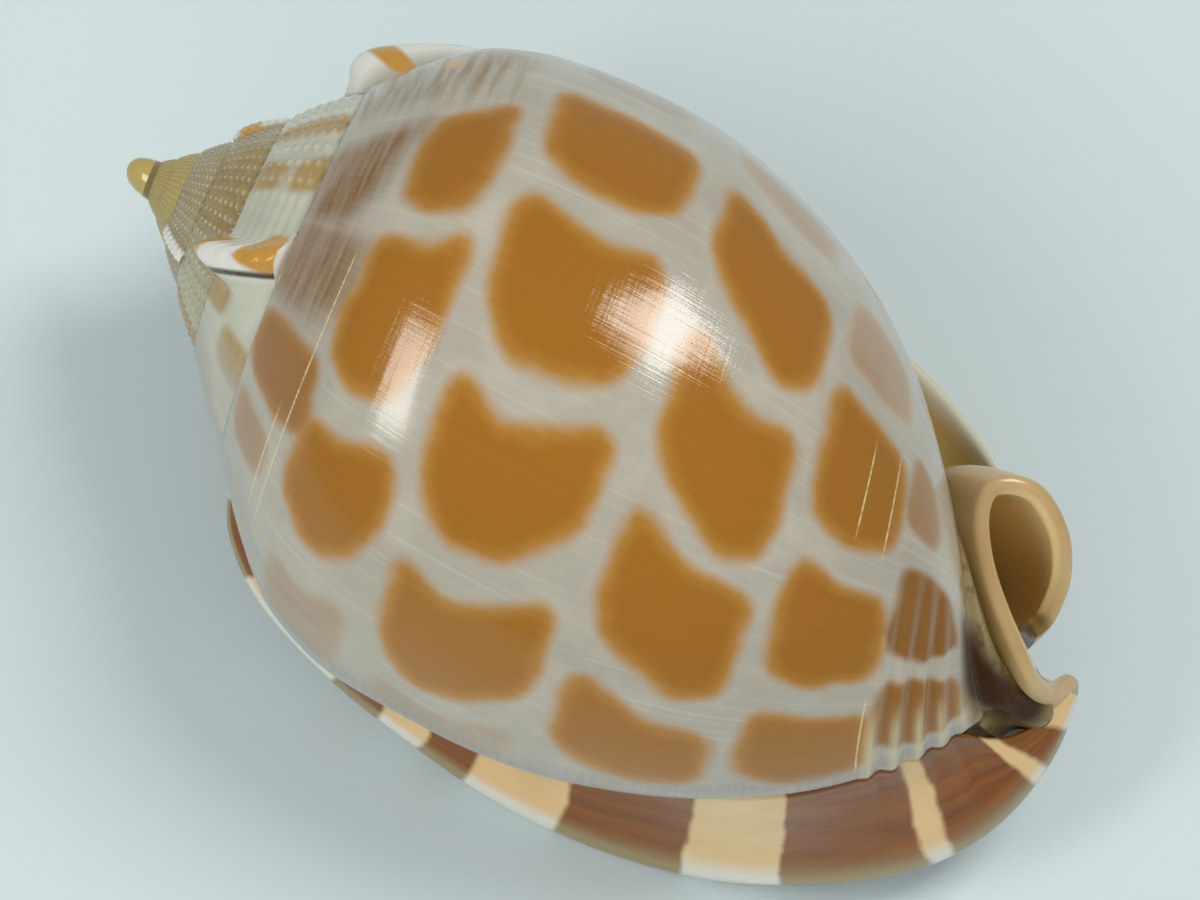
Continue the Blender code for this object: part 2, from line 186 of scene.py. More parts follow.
# Angle, half width, height, reach over the suture and lean of each varix.
VARICES = [(-109.0, 13.0, 2.6, 1.5, 12.0), (-344.0, 11.0, 1.9, 1.4, 24.0), (-575.0, 9.0, 0.9, 0.4, 10.0),
           (-797.0, 12.0, 0.4, 0.2, 8.0), (-1035.0, 10.0, 0.4, 0.1, 0.0)]
VARIX_NOSE = 2.6
VARIX_END = 45.0
SHOULDER_LENGTH = 10.1
# Riblets in a turn; spacing of spiral cords and base ridges, and how far each stands out, in mm.
RIBLETS = 48
RIBLET_RISE = 0.10
CORD = 1.35
CORD_RISE = 0.12
BASE_CORD = 1.7
BASE_CORD_RISE = 0.16
BASE_CORD_ZERO = 47.2
BASE_CORD_START = 46.6
BASE_CORD_END = 54.6
BEADS_END = -330.0
WALL = 1.5
CALLUS = 0.5
DRAW_IN = 1.8
NECK_START = 13.0
NECK_END = 59.0
HOLLOW_FIRST = -345.0
HOLLOW_FINE = -75.0
HOLLOW_STEPS = (7.5, 4.5)
HOLLOW_POINTS = 30


def smooth_curve(points, steps):
    """Catmull-Rom curve: on each span 0.5 (2 p1 + (p2 - p0) t + (2 p0 - 5 p1 + 4 p2 - p3) t^2
    + (3 p1 - p0 - 3 p2 + p3) t^3), with its own number of steps."""
    pts = np.array(points, float)
    ends = np.vstack([2 * pts[0] - pts[1], pts, 2 * pts[-1] - pts[-2]])
    steps = np.broadcast_to(steps, len(pts) - 1)
    rows = []
    for n, (p0, p1, p2, p3) in enumerate(zip(ends[:-3], ends[1:-2], ends[2:-1], ends[3:])):
        t = np.arange(steps[n])[:, None] / steps[n]
        rows.append(0.5 * (2 * p1 + (p2 - p0) * t + (2 * p0 - 5 * p1 + 4 * p2 - p3) * t ** 2
                           + (3 * p1 - p0 - 3 * p2 + p3) * t ** 3))
    return np.vstack(rows + [pts[-1:]])


def ease(x):
    """x^2 (3 - 2x), held at 0 and 1 outside."""
    x = np.clip(x, 0.0, 1.0)
    return x * x * (3.0 - 2.0 * x)


seam_point = (CONE_APEX + WHORL_RATIO * (SUTURE[0] - CONE_APEX), WHORL_RATIO * SUTURE[1])
upper = [LEDGE] + SHOULDER + [seam_point]
outline = np.vstack([[SUTURE], smooth_curve(upper + BODY + FASCIOLE, SPAN_STEPS)])
SEAM = 1 + sum(SPAN_STEPS[:3])
ROWS = len(outline)
down = np.r_[0.0, np.cumsum(np.linalg.norm(np.diff(outline, axis=0), axis=1))]
slope = np.gradient(outline, axis=0)
slope /= np.linalg.norm(slope, axis=1, keepdims=True)
lip_edge = 86.0 - 0.38 * down


def coil_points(psi):
    """Outline at each angle, as (a, l, h): scale = exp(growth * psi), a = apex + scale * (a0 - apex),
    r = scale * r0, raised along the outline's normal by the varices, cords, riblets and base ridges,
    and drawn in before the lip. Last, a is pulled to 0 at the tip."""
    psi = np.asarray(psi, float)
    scale = np.exp(GROWTH * np.radians(psi))
    a = CONE_APEX + scale * (outline[None, :, 0] - CONE_APEX)
    r = scale * outline[None, :, 1]
    below = down[None, :]
    along = np.minimum(np.arange(ROWS)[None, :] / SEAM, 1.0)
    along = along + np.clip(below - down[SEAM], 0, None) / SHOULDER_LENGTH
    for centre, half, height, reach, lean in VARICES:
        x = np.clip((psi - centre + lean * ease(along / 2.0)) / half, -1.0, 1.0)
        bump = np.cos(0.5 * np.pi * x) ** 2
        nose = np.sqrt(1.0 - (1.0 - np.clip(along * VARIX_NOSE, 0.0, 1.0)) ** 2)
        fade = 1.0 - 0.6 * ease((along - 0.8) / 1.6)
        fade = fade * (1.0 - ease((below - VARIX_END) / 8.0))
        rise = height * fade * bump * nose
        a = a - rise * slope[None, :, 1] - reach * bump * nose * (1.0 - ease(along))
        r = r + rise * slope[None, :, 0]
    early = ease((BEADS_END - psi) / 30.0) * ease(along * 6.0) * ease((1.0 - along) * 6.0)
    cords = 0.5 + 0.5 * np.sin(2.0 * np.pi * below / CORD)
    riblets = 0.5 + 0.5 * np.sin(np.radians(psi) * RIBLETS)
    rise = scale * early * (CORD_RISE * cords + RIBLET_RISE * riblets * (0.4 + 0.6 * cords))
    ridges = np.sin(2.0 * np.pi * (below - BASE_CORD_ZERO) / BASE_CORD) * BASE_CORD_RISE
    ridges = ridges * ease((below - BASE_CORD_START) / 1.5) * ease((BASE_CORD_END - below) / 1.0)
    rise = rise + scale * ridges * ease((psi + 10.0) / 50.0)
    neck = ease((psi - lip_edge[None, :] + 2.0) / 18.0) * ease((below - NECK_START) / 10.0)
    rise = rise - DRAW_IN * neck * ease((NECK_END - below) / 6.0)
    a = a - rise * slope[None, :, 1]
    r = r + rise * slope[None, :, 0]
    a = a - CONE_APEX * np.exp(-(a - CONE_APEX) / APEX_PULL)
    angle = np.radians(psi)
    return np.stack([a, r * np.sin(angle), r * np.cos(angle)], axis=-1)


def resample(line, count):
    """Points at equal distances along a line."""
    length = np.r_[0.0, np.cumsum(np.linalg.norm(np.diff(line, axis=0), axis=1))]
    at = np.linspace(0.0, length[-1], count)
    return np.stack([np.interp(at, length, line[:, k]) for k in range(3)], axis=1)


def hollow_ring(psi):
    """D section at one angle: the whorl's outline set in by the wall, and the whorl before set out by
    its callus; it stops where the two come together."""
    pair = coil_points(np.array([[psi], [psi - 360.0]]))
    outer_row = 1.0 + np.linspace(0.0, 1.0, HOLLOW_POINTS) * (ROWS - 13.0)
    inner_row = SEAM + np.linspace(0.0, 1.0, HOLLOW_POINTS) * (ROWS - 10.0 - SEAM)
    take = np.arange(ROWS)
    outer = np.stack([np.interp(outer_row, take, pair[0][:, k]) for k in range(3)], axis=1)
    inner = np.stack([np.interp(inner_row, take, pair[1][:, k]) for k in range(3)], axis=1)
    gap = outer - inner
    wide = np.linalg.norm(gap, axis=1, keepdims=True)
    scale = math.exp(GROWTH * math.radians(psi))
    wall = WALL * max(scale, 0.45) - 0.5 * DRAW_IN * float(ease((psi - 70.0) / 20.0))
    callus = CALLUS * max(scale, 0.6)
    first = int(np.argmax(wide[:, 0] > wall + callus + 0.2))
    unit = gap / np.maximum(wide, 1e-6)
    out_line = resample((outer - unit * wall)[first:], HOLLOW_POINTS)
    in_line = resample((inner + unit * callus)[first:], HOLLOW_POINTS)
    return np.vstack([out_line, in_line[::-1]])


def bridge(first, second, points):
    """Triangles between two rows of points. The steps of both rows are sorted by the share of its row
    that each has covered, and each makes one triangle with the point the other row has come to."""
    shares = []
    for row in (first, second):
        grown = np.cumsum(np.linalg.norm(np.diff(points[row], axis=0), axis=1))
        shares.append(grown / grown[-1])
    on_first = np.argsort(np.concatenate(shares), kind="stable") < len(first) - 1
    i = np.cumsum(on_first) - on_first
    j = np.arange(len(on_first)) - i
    ahead = np.where(on_first, np.r_[first[1:], -1][i], np.r_[second[1:], -1][j])
    return np.stack([first[i], ahead, second[j]], axis=1).tolist()


psi_all = LIP_ANGLE - (360.0 / PER_WHORL) * np.arange(int(WHORLS * PER_WHORL))[::-1]
COUNT = len(psi_all)
grid = coil_points(psi_all[:, None])
full_from = COUNT - 1 - PER_WHORL
use = np.ones((COUNT, ROWS), bool)
use[:full_from, SEAM + 1:] = False
use[PER_WHORL:, 0] = False
index = np.full((COUNT, ROWS), -1)
index[use] = np.arange(use.sum())
index[PER_WHORL:, 0] = index[:-PER_WHORL, SEAM]
coil_psi = np.broadcast_to(psi_all[:, None], use.shape)[use]
coil_down = np.broadcast_to(down[None, :], use.shape)[use]
coil_xyz = grid[use]
quads = np.stack([index[:-1, :-1], index[1:, :-1], index[1:, 1:], index[:-1, 1:]], axis=-1)
whole = np.ones((COUNT - 1, ROWS - 1), bool)
whole[:full_from, SEAM:] = False
faces = quads[whole].tolist()

rim = np.r_[index[0, SEAM:0:-1], index[:PER_WHORL, 0]]
rings = [rim]
extra = []
total = len(coil_xyz)
for wide, tall in DOME:
    extra.append(coil_xyz[rim] * (tall, wide, wide))
    rings.append(total + np.arange(len(rim)))
    total += len(rim)
for near, far in zip(rings[:-1], rings[1:]):
    faces += np.stack([near, np.roll(near, -1), np.roll(far, -1), far], axis=1).tolist()
extra.append(np.zeros((1, 3)))
faces += np.stack([rings[-1], np.roll(rings[-1], -1), np.full(len(rim), total)], axis=1).tolist()
total += 1

hollow_psi = np.r_[np.arange(HOLLOW_FIRST, HOLLOW_FINE, HOLLOW_STEPS[0]),
                   np.arange(HOLLOW_FINE, LIP_ANGLE + 0.1, HOLLOW_STEPS[1])]
hollow = np.stack([hollow_ring(p) for p in hollow_psi])
hollow_index = total + np.arange(hollow.shape[0] * hollow.shape[1]).reshape(hollow.shape[:2])
extra.append(hollow.reshape(-1, 3))
ahead = np.roll(hollow_index, -1, axis=1)
quads = np.stack([hollow_index[:-1], ahead[:-1], ahead[1:], hollow_index[1:]], axis=-1)
faces += quads.reshape(-1, 4).tolist()
faces.append(hollow_index[0].tolist())
whorl_xyz = np.vstack([coil_xyz] + extra)

last_outer = index[COUNT - 1]
last_inner = index[full_from, SEAM:]
mouth = hollow_index[-1]
faces += bridge(last_outer, mouth[:HOLLOW_POINTS], whorl_xyz)
faces += bridge(last_inner, mouth[:HOLLOW_POINTS - 1:-1], whorl_xyz)
faces.append(np.r_[last_outer[0], mouth[0], mouth[-1]].tolist())
axis_points = index[full_from + 1:COUNT - 1, ROWS - 1]
faces.append(np.r_[mouth[HOLLOW_POINTS - 1], mouth[HOLLOW_POINTS], last_inner[-1], axis_points,
                   last_outer[-1]].tolist())

pad = len(whorl_xyz) - len(coil_xyz)
whorl_psi = np.r_[coil_psi, np.zeros(pad)]
whorl_down = np.r_[coil_down, np.zeros(pad)]
dome_count = len(rim) * len(DOME) + 1
whorl_psi[len(coil_xyz):len(coil_xyz) + dome_count] = psi_all[0]
inside = np.zeros(len(whorl_xyz))
inside[hollow_index.ravel()] = 1.0

# The markings are colour in the shell, not relief. Each is a patch with rounded corners, given as
# (angle in degrees, distance down the whorl in mm), then its strength and its share of dark brown.
MM_PER_DEGREE = 0.36
CORNER_KEPT, CORNER_CUT = 0.84, 0.16
SPOTS = [
    ([(-36, 8.3), (-19, 8.5), (-17.5, 10.5), (-20, 12.2), (-27, 13.2), (-45.5, 13.2), (-43, 11.8)], 1.0, 0.15),
    ([(-8, 8.0), (14, 8.0), (17, 10.4), (16, 12.3), (7, 13.9), (-15, 13.8), (-10, 11.2)], 1.0, 0.0),
    ([(28, 8.3), (42, 8.2), (48.5, 11.4), (43, 14.6), (24, 14.8), (27, 11.5)], 1.0, 0.0),
    ([(58, 9.2), (76, 9.2), (79, 14.2), (55, 14.8), (61, 12)], 0.45, 0.35),
    ([(-56, 15.7), (-39, 15.8), (-33.5, 18.2), (-33.5, 22.5), (-37, 25.2), (-53, 25.4), (-54, 20)], 1.0, 0.0),
    ([(-28, 15.9), (-8, 16), (-0.5, 18.7), (-1, 22), (-5, 25.6), (-26, 25.6), (-23, 21)], 1.0, 0.0),
    ([(6, 16.2), (23, 16.5), (32, 19.2), (30, 22.3), (20, 26.1), (3, 26.3), (11.5, 20)], 1.0, 0.0),
    ([(38, 17.0), (54, 17), (62.7, 19.5), (59, 23.2), (50, 26.2), (33, 26.5), (43, 20.5)], 1.0, 0.0),
    ([(67, 17.6), (80, 18), (80, 24), (62, 26.6), (70, 22)], 0.35, 0.4),
    ([(-82, 17), (-68, 17), (-66, 24), (-80, 25)], 0.45, 0.5),
    ([(-70, 28.8), (-61, 29), (-55, 34), (-55.5, 36.7), (-66, 37), (-67, 32)], 0.5, 0.0),
    ([(-52, 28.3), (-32, 28.4), (-18.5, 34.8), (-22, 37), (-41, 37.3), (-43.5, 33)], 1.0, 0.0),
    ([(-19, 28.8), (2, 28.8), (14, 34.6), (11, 37), (-10, 37.4), (-9, 33)], 1.0, 0.0),
    ([(11, 28.8), (32, 28.8), (42.3, 34.5), (39, 37.2), (20, 37.5), (20, 33)], 1.0, 0.0),
    ([(42, 28.8), (61, 28.8), (67.3, 33), (64, 37.2), (50, 37.5), (50, 33)], 1.0, 0.0),
    ([(-52, 39.8), (-34, 39.8), (-32.5, 43), (-34, 46), (-50, 45.5)], 0.55, 0.1),
    ([(-27, 39.4), (-1, 39.4), (3, 43), (-0.5, 46.5), (-22, 46.5), (-24, 43)], 1.0, 0.05),
    ([(9.5, 39.6), (32, 39.6), (34.5, 42.5), (32, 46.8), (12, 46.8), (12.5, 43)], 1.0, 0.05),
    ([(42, 39.6), (61, 39.6), (64, 43), (62, 47.2), (42.5, 47.2), (44, 43)], 1.0, 0.05),
    ([(-28, 47.6), (-10, 47.4), (-7, 50.2), (-12, 51), (-25, 49.8)], 0.8, 0.4),
    ([(2, 48), (23, 47.8), (26.5, 51), (23, 54), (9, 53), (2, 50.5)], 1.0, 0.75),
    ([(35, 47.8), (53, 47.8), (58, 51), (53, 54.5), (37, 54), (34.5, 51)], 1.0, 0.55),
    ([(18, 1.0), (32, 1.2), (34, 5.2), (31, 8.2), (18, 7.4), (17, 4)], 1.0, 0.3),
    ([(40, 1.2), (53, 1.6), (50, 5.2), (41, 5.4)], 0.7, 0.2)]
# Under the suture a softer brown shades the ground, with no edge of its own.
SHADES = [([(-31, 0.4), (-8, 0.4), (-9, 4.4), (-18, 6.2), (-31, 7.2), (-40, 8.2), (-36, 4)], 1.0),
          ([(-10, 0.4), (14, 0.4), (14, 4), (8, 7.6), (-8, 7.6), (-9, 5)], 0.9),
          ([(-74, 3), (-52, 0.8), (-43, 1), (-46, 6), (-58, 12), (-74, 13)], 0.5)]
# On the side that the back hides, the rows run on round the whorl at the same spacing.
ROW_SPAN = [(8.3, 14.5, -84.0, 35.0), (16.3, 25.8, -96.0, 31.0), (28.8, 37.0, -99.0, 31.0),
            (40.0, 46.4, -78.0, 32.0), (48.3, 52.5, -60.0, 31.0)]
for top, bottom, start, spacing in ROW_SPAN:
    for n in range(5):
        left = start - spacing * n
        corners = [(left - 11, top), (left + 8, top), (left + 12, 0.6 * top + 0.4 * bottom),
                   (left + 8, bottom), (left - 10, bottom), (left - 7, 0.5 * (top + bottom))]
        SPOTS.append((corners, 0.9, 0.0))
# Golden stripes across the varices, and tan stripes down the spire between them.
GOLD = [[(-352, 1.2), (-341, 1.2), (-343, 3.4), (-353, 3.2)],
        [(-361, 6.8), (-349, 6.8), (-350, 10.4), (-362, 10.4)],
        [(-800, 2.0), (-788, 2.0), (-790, 6.0), (-800, 6.0)],
        [(-110, 3.2), (-100, 3.2), (-100, 4.9), (-110, 4.9)],
        [(-70, 6.8), (-61, 6.8), (-61, 8.2), (-70, 8.2)],
        [(-590, 1), (-570, 1), (-572, 4), (-588, 4)], [(-590, 6.5), (-572, 6.5), (-574, 10), (-590, 10)]]
TAN = [[(-336, 0), (-322, 0), (-326, 4.4), (-340, 4.4)], [(-326, 5), (-312, 5), (-311, 10), (-326, 10)],
       [(-391, 0.6), (-374, 0.6), (-377, 4.8), (-388, 4.8)], [(-388, 6), (-376, 6), (-378, 10), (-392, 10)],
       [(-414, 0), (-402, 0), (-402, 10), (-414, 10)], [(-470, 1), (-452, 1), (-455, 9), (-472, 9)],
       [(-520, 0), (-500, 0), (-505, 10), (-522, 10)], [(-770, -1), (-705, -1), (-712, 11), (-765, 11)],
       [(-660, 0), (-630, 0), (-635, 10), (-655, 10)]]


def patch_depth(x, y, corners):
    """Distance in mm from the edge of the patch, positive inside: least distance to its sides, signed by
    the parity of the sides crossed. Its corners are cut off three times over, which rounds them."""
    ring = np.array(corners, float) * (MM_PER_DEGREE, 1.0)
    for _ in range(3):
        after = np.roll(ring, -1, axis=0)
        ring = np.stack([CORNER_KEPT * ring + CORNER_CUT * after,
                         CORNER_CUT * ring + CORNER_KEPT * after], axis=1).reshape(-1, 2)
    best = np.full(x.shape, 1e9)
    odd = np.zeros(x.shape, bool)
    for (x0, y0), (x1, y1) in zip(ring, np.roll(ring, -1, axis=0)):
        dx, dy = x1 - x0, y1 - y0
        t = np.clip(((x - x0) * dx + (y - y0) * dy) / (dx * dx + dy * dy + 1e-12), 0.0, 1.0)
        best = np.minimum(best, (x - x0 - t * dx) ** 2 + (y - y0 - t * dy) ** 2)
        if y0 != y1:
            odd ^= ((y0 > y) != (y1 > y)) & (x < x0 + dx * (y - y0) / (y1 - y0))
    return np.sqrt(best) * np.where(odd, 1.0, -1.0)


# Painted shade and dirt darken the deep gap between the canal's wall, the base of the whorl and the tip of the
# lip.
GAP_LINE = [(60.6, 3.2), (63.0, 4.5), (65.2, 4.9), (67.2, 4.8)]
GAP_REACH = 2.3
GAP_FADE = 1.6


def gap_shade_and_dirt(points):
    """1 near the gap's line and 0 beyond its reach, by least distance in mm along a and l."""
    away = np.linalg.norm(points[:, None, :2] - smooth_curve(GAP_LINE, 6)[None], axis=2).min(axis=1)
    return ease((GAP_REACH - away) / GAP_FADE)


whorl_x = whorl_psi * MM_PER_DEGREE
depth = np.full(len(whorl_xyz), -5.0)
strength = np.zeros(len(whorl_xyz))
darkness = np.zeros(len(whorl_xyz))
last = np.flatnonzero(whorl_psi > -290.0)
for corners, force, hue in SPOTS:
    value = np.full(len(whorl_xyz), -9.0)
    value[last] = patch_depth(whorl_x[last], whorl_down[last], corners)
    nearer = value > depth
    depth = np.where(nearer, value, depth)
    strength = np.where(nearer, force, strength)
    darkness = np.where(nearer, hue, darkness)
shaded = np.zeros(len(whorl_xyz))
for corners, force in SHADES:
    value = ease((patch_depth(whorl_x[last], whorl_down[last], corners) + 1.5) / 3.2)
    shaded[last] = np.maximum(shaded[last], force * value)
spire_scale = np.exp(GROWTH * np.radians(whorl_psi))
gold, tan = (np.max([patch_depth(whorl_x, whorl_down, c) for c in group], axis=0) * spire_scale
             for group in (GOLD, TAN))
roll = np.zeros(len(whorl_xyz))
for centre, half, _, _, lean in VARICES:
    x = np.clip((whorl_psi - centre + lean * ease(whorl_down / 20.0)) / half, -1.0, 1.0)
    roll = np.maximum(roll, np.cos(0.5 * np.pi * x) ** 2 * (whorl_down < 14.0))
ridge = 0.5 + 0.5 * np.sin(2.0 * np.pi * (whorl_down - BASE_CORD_ZERO) / BASE_CORD)
whorl_fields = {
    "spot_depth": depth, "spot_strength": strength, "spot_dark": darkness, "gold": gold, "tan": tan,
    "spire": ease((-300.0 - whorl_psi) / 30.0),
    "beaded": ease((-365.0 - whorl_psi) / 20.0),
    "first_whorls": ease((-1250.0 - whorl_psi) / 200.0),
    "early_brown": 0.75 * ease((-620.0 - whorl_psi) / 90.0),
    "roll": roll, "shaded": shaded,
    "suture": ((1.0 - ease(whorl_down / 0.9)) * ease((-100.0 - whorl_psi) / 60.0)
               * ease((whorl_psi + 960.0) / 60.0)),
    "slant": (ease((-38.0 - whorl_psi) / 20.0) * (1.0 - ease((whorl_down - 9.0) / 6.0))
              * ease((whorl_psi + 97.0) / 8.0)),
    "keel": (ridge ** 3 * ease((whorl_down - BASE_CORD_START) / 1.0)
             * ease((55.0 - whorl_down) / 1.0) * ease((whorl_psi - 38.0) / 14.0)),
    "edge_band": ease((whorl_psi - np.interp(whorl_down, down, lip_edge) + 9.0) / 6.0) * (1.0 - inside),
    "base": ease((whorl_down - 54.3) / 1.0), "inside": inside,
    "gap": gap_shade_and_dirt(whorl_xyz) * ease((whorl_down - 54.0) / 1.5) * (1.0 - inside)}

# Aragonite, laid down in thin layers by the mantle's edge and left with a natural glaze: the ground is
# a cloudy grey cream, the spots sink softly into it, and growth lines 0.4 mm apart break every
# highlight across into streaks. Patterns on the chart count by 10 degrees and by 10 mm down.
GROWTH_LINES = (9.0, 0.35, 1.0)
GROWTH_BANDS = (1.6, 0.12, 1.0)
SPIRAL_LINES = (0.15, 22.0, 1.0)
SLANT_LINES = (0.5, 16.0, 1.0)
SLANT = 0.27
CLOUDS_PER_METRE = 240.0
SPECKS_PER_METRE = 1100.0
GROUND = ("#A09A8B", "#B0A896", "#BDB6A4")
SPOT = ("#AC7A2E", "#9A6304", "#875203")
SPOT_BROWN = ("#6A4210", "#8C5E1C")
DIRT = "#4A3216"
# The gap's dark brown is painted shade as well as dirt.
GAP_SHADE_AND_DIRT = "#3A210C"
whorl_material, tree, surface = finish("glazed_aragonite", 0.09, 1.5, 0.15)
chart = add(tree, "UVMap", out="UV", uv_map="growth")
place = add(tree, "TexCoord", out="Object")
held = {name: add(tree, "Attribute", out="Fac", attribute_name=name) for name in whorl_fields}
across = add(tree, "Mapping", {"Vector": chart, "Scale": GROWTH_LINES})
growth_lines = add(tree, "TexNoise", {"Vector": across, "Scale": 1.0, "Detail": 4.0, "Roughness": 0.65})
broad = add(tree, "Mapping", {"Vector": chart, "Scale": GROWTH_BANDS})
growth_bands = add(tree, "TexNoise", {"Vector": broad, "Scale": 1.0, "Detail": 2.0})
around = add(tree, "Mapping", {"Vector": chart, "Scale": SPIRAL_LINES})
spiral_lines = add(tree, "TexNoise", {"Vector": around, "Scale": 1.0, "Detail": 3.0})
cloud = add(tree, "TexNoise", {"Vector": place, "Scale": CLOUDS_PER_METRE, "Detail": 3.0})
speck = add(tree, "TexNoise", {"Vector": place, "Scale": SPECKS_PER_METRE, "Detail": 4.0})
tilted = add(tree, "Mapping", {"Vector": chart, "Rotation": (0.0, 0.0, SLANT), "Scale": SLANT_LINES})
slant_lines = add(tree, "TexNoise", {"Vector": tilted, "Scale": 1.0, "Detail": 3.0})

wander = add(tree, "Math", {0: cloud, 1: 1.6, 2: -0.8}, operation="MULTIPLY_ADD")
wander = add(tree, "Math", {0: growth_lines, 1: 0.12, 2: wander}, operation="MULTIPLY_ADD")
edge = add(tree, "Math", {0: held["spot_depth"], 1: wander}, operation="ADD")
in_spot = add(tree, "MapRange", {0: edge, 1: -1.0, 2: 0.15}, interpolation_type="SMOOTHSTEP")
in_spot = add(tree, "Math", {0: in_spot, 1: held["spot_strength"]}, operation="MULTIPLY")
in_core = add(tree, "MapRange", {0: edge, 1: -0.4, 2: 1.0}, interpolation_type="SMOOTHSTEP")
orange = add(tree, "Mix", {0: in_core, 6: SPOT[0], 7: SPOT[1]}, 2, data_type="RGBA")
streak = add(tree, "MapRange", {0: growth_lines, 1: 0.45, 2: 0.8, 4: 0.25})
orange = add(tree, "Mix", {0: streak, 6: orange, 7: SPOT[2]}, 2, data_type="RGBA")
brown = add(tree, "Mix", {0: growth_lines, 6: SPOT_BROWN[0], 7: SPOT_BROWN[1]}, 2, data_type="RGBA")
marking = add(tree, "Mix", {0: held["spot_dark"], 6: orange, 7: brown}, 2, data_type="RGBA")

colour = add(tree, "Mix", {0: growth_bands, 6: GROUND[0], 7: GROUND[1]}, 2, data_type="RGBA")
light = add(tree, "MapRange", {0: cloud, 1: 0.45, 2: 0.75, 4: 0.6})
colour = add(tree, "Mix", {0: light, 6: colour, 7: GROUND[2]}, 2, data_type="RGBA")
fine = add(tree, "MapRange", {0: growth_lines, 1: 0.52, 2: 0.72, 4: 0.3})
colour = add(tree, "Mix", {0: fine, 6: colour, 7: "#D0CAB6"}, 2, data_type="RGBA")
slanted = add(tree, "MapRange", {0: slant_lines, 1: 0.42, 2: 0.62})
slanted = add(tree, "Math", {0: slanted, 1: held["slant"]}, operation="MULTIPLY")
spire_tone = add(tree, "Mix", {0: cloud, 6: "#9E9C88", 7: "#D2D2BC"}, 2, data_type="RGBA")
in_tan = add(tree, "MapRange", {0: held["tan"], 1: -0.5, 2: 0.4}, interpolation_type="SMOOTHSTEP")
tan_tone = add(tree, "Mix", {0: slant_lines, 6: "#8F7340", 7: "#B69A5E"}, 2, data_type="RGBA")
spire_tone = add(tree, "Mix", {0: in_tan, 6: spire_tone, 7: tan_tone}, 2, data_type="RGBA")
in_gold = add(tree, "MapRange", {0: held["gold"], 1: -0.25, 2: 0.2}, interpolation_type="SMOOTHSTEP")
dirt = add(tree, "MapRange", {0: speck, 1: 0.40, 2: 0.62})
dirt = add(tree, "Math", {0: dirt, 1: held["suture"]}, operation="MULTIPLY")
lined = add(tree, "Math", {0: spiral_lines, 1: held["edge_band"]}, operation="MULTIPLY")
crest = add(tree, "Math", {0: held["keel"], 1: 0.75}, operation="MULTIPLY")
fouled = add(tree, "MapRange", {0: speck, 1: 0.5, 2: 0.75})
fasciole = add(tree, "Mix", {0: fouled, 6: "#8E7B4C", 7: "#5F4A22"}, 2, data_type="RGBA")
shade_lines = add(tree, "MapRange", {0: slant_lines, 1: 0.3, 2: 0.65, 3: 0.55, 4: 1.0})
shade_share = add(tree, "Math", {0: shade_lines, 1: held["shaded"]}, operation="MULTIPLY")
early_brown = add(tree, "Mix", {0: speck, 6: "#6E5A30", 7: "#A8935E"}, 2, data_type="RGBA")
rolled = add(tree, "MapRange", {0: held["roll"], 1: 0.2, 2: 0.6})
# Among these, the dark brown laid in the gap is painted shade as well as dirt.
for share, tone in ((held["spire"], spire_tone), (slanted, "#8C6E3A"), (shade_share, brown),
                    (held["early_brown"], early_brown), (held["first_whorls"], "#B09A56"),
                    (in_spot, marking), (rolled, "#D8D6CA"), (in_gold, "#BE8A34"), (lined, "#8F8A84"),
                    (crest, "#C9BE92"), (dirt, DIRT), (held["base"], fasciole), (held["gap"], GAP_SHADE_AND_DIRT),
                    (held["inside"], "#CDBFA6")):
    colour = add(tree, "Mix", {0: share, 6: colour, 7: tone}, 2, data_type="RGBA")

# Beads stand where riblets cross the cords of the spire, with paler tops.
turned, fallen = (add(tree, "SeparateXYZ", {0: chart}, n) for n in (0, 1))
pearls = add(tree, "Math", {0: turned, 1: RIBLETS * math.pi / 18.0}, operation="MULTIPLY")
pearls = add(tree, "Math", {0: pearls}, operation="SINE")
strings = add(tree, "Math", {0: fallen, 1: 20.0 * math.pi / CORD}, operation="MULTIPLY")
strings = add(tree, "Math", {0: strings}, operation="SINE")
strings = add(tree, "MapRange", {0: strings, 1: -1.0, 3: 0.15})
pearls = add(tree, "Math", {0: pearls, 1: strings}, operation="MULTIPLY")
pearls = add(tree, "Math", {0: pearls, 1: held["beaded"]}, operation="MULTIPLY")
pale_crest = add(tree, "MapRange", {0: pearls, 1: 0.1, 2: 0.9, 4: 0.26})
colour = add(tree, "Mix", {0: pale_crest, 6: colour, 7: "#DAD5BE"}, 2, data_type="RGBA")

# The painted shade and dirt in the gap are matt.
shine = add(tree, "Math", {0: held["gap"], 1: -0.45, 2: 0.5}, operation="MULTIPLY_ADD")
tree.links.new(shine, surface.inputs["Specular IOR Level"])

# Thin golden scratches run round the whorl: distance down in mm, first and last angle.
SCRATCHES = [(6.7, -6.0, 62.0), (43.3, -22.0, 2.0), (45.8, -24.0, 4.0), (46.9, 36.0, 66.0), (5.6, 30.0, 60.0)]
CRACK_SLANT, CRACK_PLACE = 1.6, -33.45
for place_down, first, final in SCRATCHES:
    off = add(tree, "Math", {0: fallen, 1: place_down / 10.0}, operation="SUBTRACT")
    off = add(tree, "Math", {0: off}, operation="ABSOLUTE")
    line = add(tree, "MapRange", {0: off, 1: 0.009, 2: 0.003})
    begun = add(tree, "MapRange", {0: turned, 1: first / 10.0, 2: first / 10.0 + 0.5})
    ended = add(tree, "MapRange", {0: turned, 1: final / 10.0, 2: final / 10.0 - 0.5})
    line = add(tree, "Math", {0: line, 1: begun}, operation="MULTIPLY")
    line = add(tree, "Math", {0: line, 1: ended}, operation="MULTIPLY")
    broken = add(tree, "MapRange", {0: growth_lines, 1: 0.35, 2: 0.55, 3: 0.3})
    line = add(tree, "Math", {0: line, 1: broken}, operation="MULTIPLY")
    colour = add(tree, "Mix", {0: line, 6: colour, 7: "#D9C48E"}, 2, data_type="RGBA")
